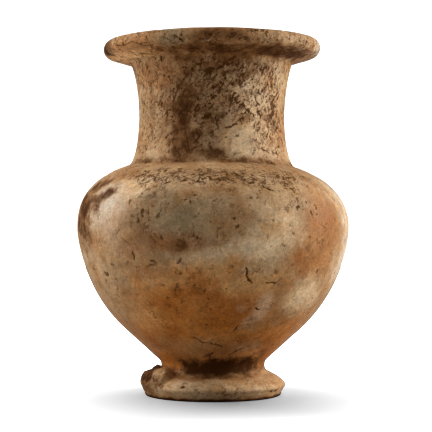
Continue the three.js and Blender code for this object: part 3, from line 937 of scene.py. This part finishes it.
def mottled(s, tone, fine, grain, cloud):
    """The clean stone: its tone made lighter and darker by noise, and browner in places."""
    light = s.times_plus(grain, 0.9, 0.55)
    light = s.times(light, s.times_plus(cloud, 0.8, 0.6))
    light = s.times(light, s.times_plus(fine, 1.4, 0.3))
    colour = s.mix(1.0, tone, s.grey(light), "MULTIPLY")
    tint = s.mix(s.step(s.noise(17, 6, 0.66), 0.42, 0.66), PALE_TINT, BROWN_TINT)
    return s.mix(1.0, colour, tint, "MULTIPLY")


def veined(s, colour, amount, cloud):
    """Thin veins along the bands of the stone."""
    ridge = s.math("ABSOLUTE", s.swing(11, 4, 0.55, 0.6))
    vein = s.times(s.step(ridge, 0.03, 0.006), s.step(cloud, 0.42, 0.6))
    return s.mix(s.times(vein, s.times(amount, 0.8)), colour, VEIN_COLOUR)


def grimed_and_shaded(s, colour, amount):
    """Grime and painted shade in the high places of the noise, over a thinner brown wash of both."""
    grime_and_shade = s.times_plus(s.swing(9, 8, 0.76), 2.6, amount)
    wash_and_shade = s.times(s.step(grime_and_shade, 0.15, 0.7), 0.85)
    grime_and_shade = s.times(s.step(grime_and_shade, 0.45, 1.05), 0.97)
    colour = s.mix(wash_and_shade, colour, WASH_AND_SHADE_COLOUR)
    return s.mix(grime_and_shade, colour, GRIME_AND_SHADE_COLOUR), grime_and_shade


def dashed(s, colour, amount):
    """Scattered dashes, paler ones and hairs, which lie in clusters."""
    drawn_out = s.stretched(DASH_TILT, DASH_STRETCH)
    cluster = s.times_plus(s.swing(7, 3), 1.6, amount)
    hair_ridge = s.math("ABSOLUTE", s.swing(3.0, 4, 0.65))
    hair = s.times(s.step(hair_ridge, 0.045, 0.012), s.step(s.noise(2.6, 2), 0.46, 0.54))
    hair = s.times(hair, s.step(cluster, 0.15, 0.75))
    speck_level = s.times_plus(cluster, -0.2, 0.735)
    speck = s.step(s.minus(s.noise(1.7, 4, 0.62, place=drawn_out), speck_level), -0.015, 0.035)
    faint_level = s.times_plus(cluster, -0.19, 0.675)
    faint = s.step(s.minus(s.noise(3.0, 5, 0.68, place=drawn_out), faint_level), -0.02, 0.07)
    colour = s.mix(s.times(faint, 0.6), colour, LIGHT_DASH_COLOUR)
    colour = s.mix(s.times(hair, 0.75), colour, DASH_COLOUR)
    colour = s.mix(s.times(speck, 0.97), colour, DASH_COLOUR)
    return colour, s.most(speck, hair)


def marked(s, colour):
    """The lines and spots that are placed by hand, wavy and with ragged edges."""
    _, (line_away, line_half, line_dark), _ = s.attribute("lines")
    _, (spot_depth, spot_dark, _), _ = s.attribute("spots")
    rough_edge = s.times(s.swing(1.8, 4, 0.75), 3.2)
    roughening = s.times_plus(line_half, 0.9, 0.15)
    wavy = s.times_plus(s.swing(4.2, 3, 0.6), 3.0, line_away)
    within_line = s.minus(line_half, s.math("ABSOLUTE", wavy))
    within_line = s.times_plus(rough_edge, roughening, within_line)
    line = s.times(s.step(within_line, -0.15, 0.25), line_dark)
    spot_edge = s.times(s.swing(2.3, 4, 0.75), 5.5)
    spot = s.step(s.math("ADD", spot_depth, spot_edge), -0.2, 0.3)
    spot = s.times(spot, spot_dark)
    colour = s.mix(line, colour, DASH_COLOUR)
    return s.mix(spot, colour, DASH_COLOUR), s.most(line, spot)


def roughened(s, fine, grain, marks, crust):
    """Fine unevenness: the stone's grain, marks sunk a little and the crust of the break."""
    depth = s.times_plus(fine, 0.12, s.times(grain, 0.25))
    depth = s.times_plus(marks, -0.25, depth)
    depth = s.math("ADD", depth, s.times(s.noise(2.2, 5, 0.7), s.times(crust, 1.4)))
    bump = s.tree.nodes.new("ShaderNodeBump")
    bump.inputs["Distance"].default_value = MM
    bump.inputs["Strength"].default_value = BUMP_STRENGTH
    s.put(bump.inputs["Height"], depth)
    return bump.outputs[0]


def stone_material():
    """The whole material, from the tone and the stain and painted shade that the mesh stores."""
    s = Shader("alabaster")
    tone, _, _ = s.attribute("tone")
    _, (dash_amount, grime_and_shade_amount, vein_amount), crust = s.attribute("stain_and_shade")
    fine = s.noise(1.3, 4, 0.7)
    grain = s.noise(4.5, 5, 0.6)
    cloud = s.noise(14, 4, 0.6)

    colour = mottled(s, tone, fine, grain, cloud)
    colour = veined(s, colour, vein_amount, cloud)
    colour, grime_and_shade = grimed_and_shaded(s, colour, grime_and_shade_amount)
    colour, scattered = dashed(s, colour, dash_amount)
    colour, placed = marked(s, colour)
    marks = s.most(placed, scattered)
    roughness = s.times_plus(s.most(grime_and_shade, marks), 0.25, s.times_plus(grain, 0.3, 0.33))

    s.put(s.surface.inputs["Base Color"], colour)
    s.put(s.surface.inputs["Roughness"], roughness)
    s.put(s.surface.inputs["Normal"], roughened(s, fine, grain, marks, crust))
    for name, value in SURFACE_VALUES.items():
        s.surface.inputs[name].default_value = value
    return s.material


# The studio

def build_camera():
    """The photograph's viewpoint: level, at not quite half the vase's height."""
    data = bpy.data.cameras.new("camera")
    camera = bpy.data.objects.new("camera", data)
    bpy.context.scene.collection.objects.link(camera)
    camera.location = (0, -CAMERA_DISTANCE * MM, EYE_HEIGHT * MM)
    camera.rotation_euler = (math.pi / 2, 0, 0)
    data.sensor_width = SENSOR_WIDTH
    data.lens = LENS
    data.shift_x = SHIFT_RIGHT
    data.shift_y = SHIFT_UP
    data.clip_start = NEAR_CLIP
    data.clip_end = FAR_CLIP
    bpy.context.scene.camera = camera


def build_floor():
    """A floor that shows nothing but the shadow on it, grey so that it throws little light back."""
    bpy.ops.mesh.primitive_plane_add(size=FLOOR_SIZE, location=(0, 0, 0))
    floor = bpy.context.object
    floor.name = "floor"
    paper = bpy.data.materials.new("paper")
    paper.use_nodes = True
    surface = paper.node_tree.nodes["Principled BSDF"]
    surface.inputs["Base Color"].default_value = FLOOR_COLOUR
    surface.inputs["Roughness"].default_value = FLOOR_ROUGHNESS
    floor.data.materials.append(paper)
    floor.is_shadow_catcher = True
    return floor


def build_light(name, azimuth, distance, centre_height, width, tall, power):
    """A soft box that faces the vase from an azimuth, counted as a turn is."""
    data = bpy.data.lights.new(name, "AREA")
    data.shape = "RECTANGLE"
    data.size = width * MM
    data.size_y = tall * MM
    data.energy = power
    light = bpy.data.objects.new(name, data)
    bpy.context.scene.collection.objects.link(light)
    at = math.radians(azimuth)
    place = Vector((math.sin(at), -math.cos(at), 0)) * distance + Vector((0, 0, centre_height))
    light.location = place * MM
    light.rotation_euler = (LIGHTS_FACE - place).to_track_quat("-Z", "Y").to_euler()
    return light


def keep_to(light, lit):
    """Lets a light fall on one thing alone.

    The lights kept to the vase throw no shadow on the floor, so its shadow comes from the world's
    light and the two lights kept to the floor.
    """
    alone = bpy.data.collections.new(light.name + "_lit")
    alone.objects.link(lit)
    light.light_linking.receiver_collection = alone


def build_world():
    """White behind everything, and a weaker light from all round."""
    world = bpy.data.worlds.new("studio")
    bpy.context.scene.world = world
    world.use_nodes = True
    tree = world.node_tree
    around_light = tree.nodes["Background"]
    around_light.inputs["Color"].default_value = WHITE_LIGHT
    around_light.inputs["Strength"].default_value = AROUND_STRENGTH
    backdrop = tree.nodes.new("ShaderNodeBackground")
    backdrop.inputs["Color"].default_value = WHITE_LIGHT
    backdrop.inputs["Strength"].default_value = BACKDROP_STRENGTH
    seen = tree.nodes.new("ShaderNodeLightPath")
    blended = tree.nodes.new("ShaderNodeMixShader")
    tree.links.new(seen.outputs["Is Camera Ray"], blended.inputs["Fac"])
    tree.links.new(around_light.outputs[0], blended.inputs[1])
    tree.links.new(backdrop.outputs[0], blended.inputs[2])
    tree.links.new(blended.outputs[0], tree.nodes["World Output"].inputs["Surface"])


vase = build_vase()
vase.data.materials.append(stone_material())
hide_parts("vase")
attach(vase, "root")

build_camera()
floor = build_floor()
for vase_light in VASE_LIGHTS:
    keep_to(build_light(*vase_light), vase)
for floor_light in FLOOR_LIGHTS:
    keep_to(build_light(*floor_light), floor)
build_world()
bpy.context.scene.view_settings.view_transform = "Standard"
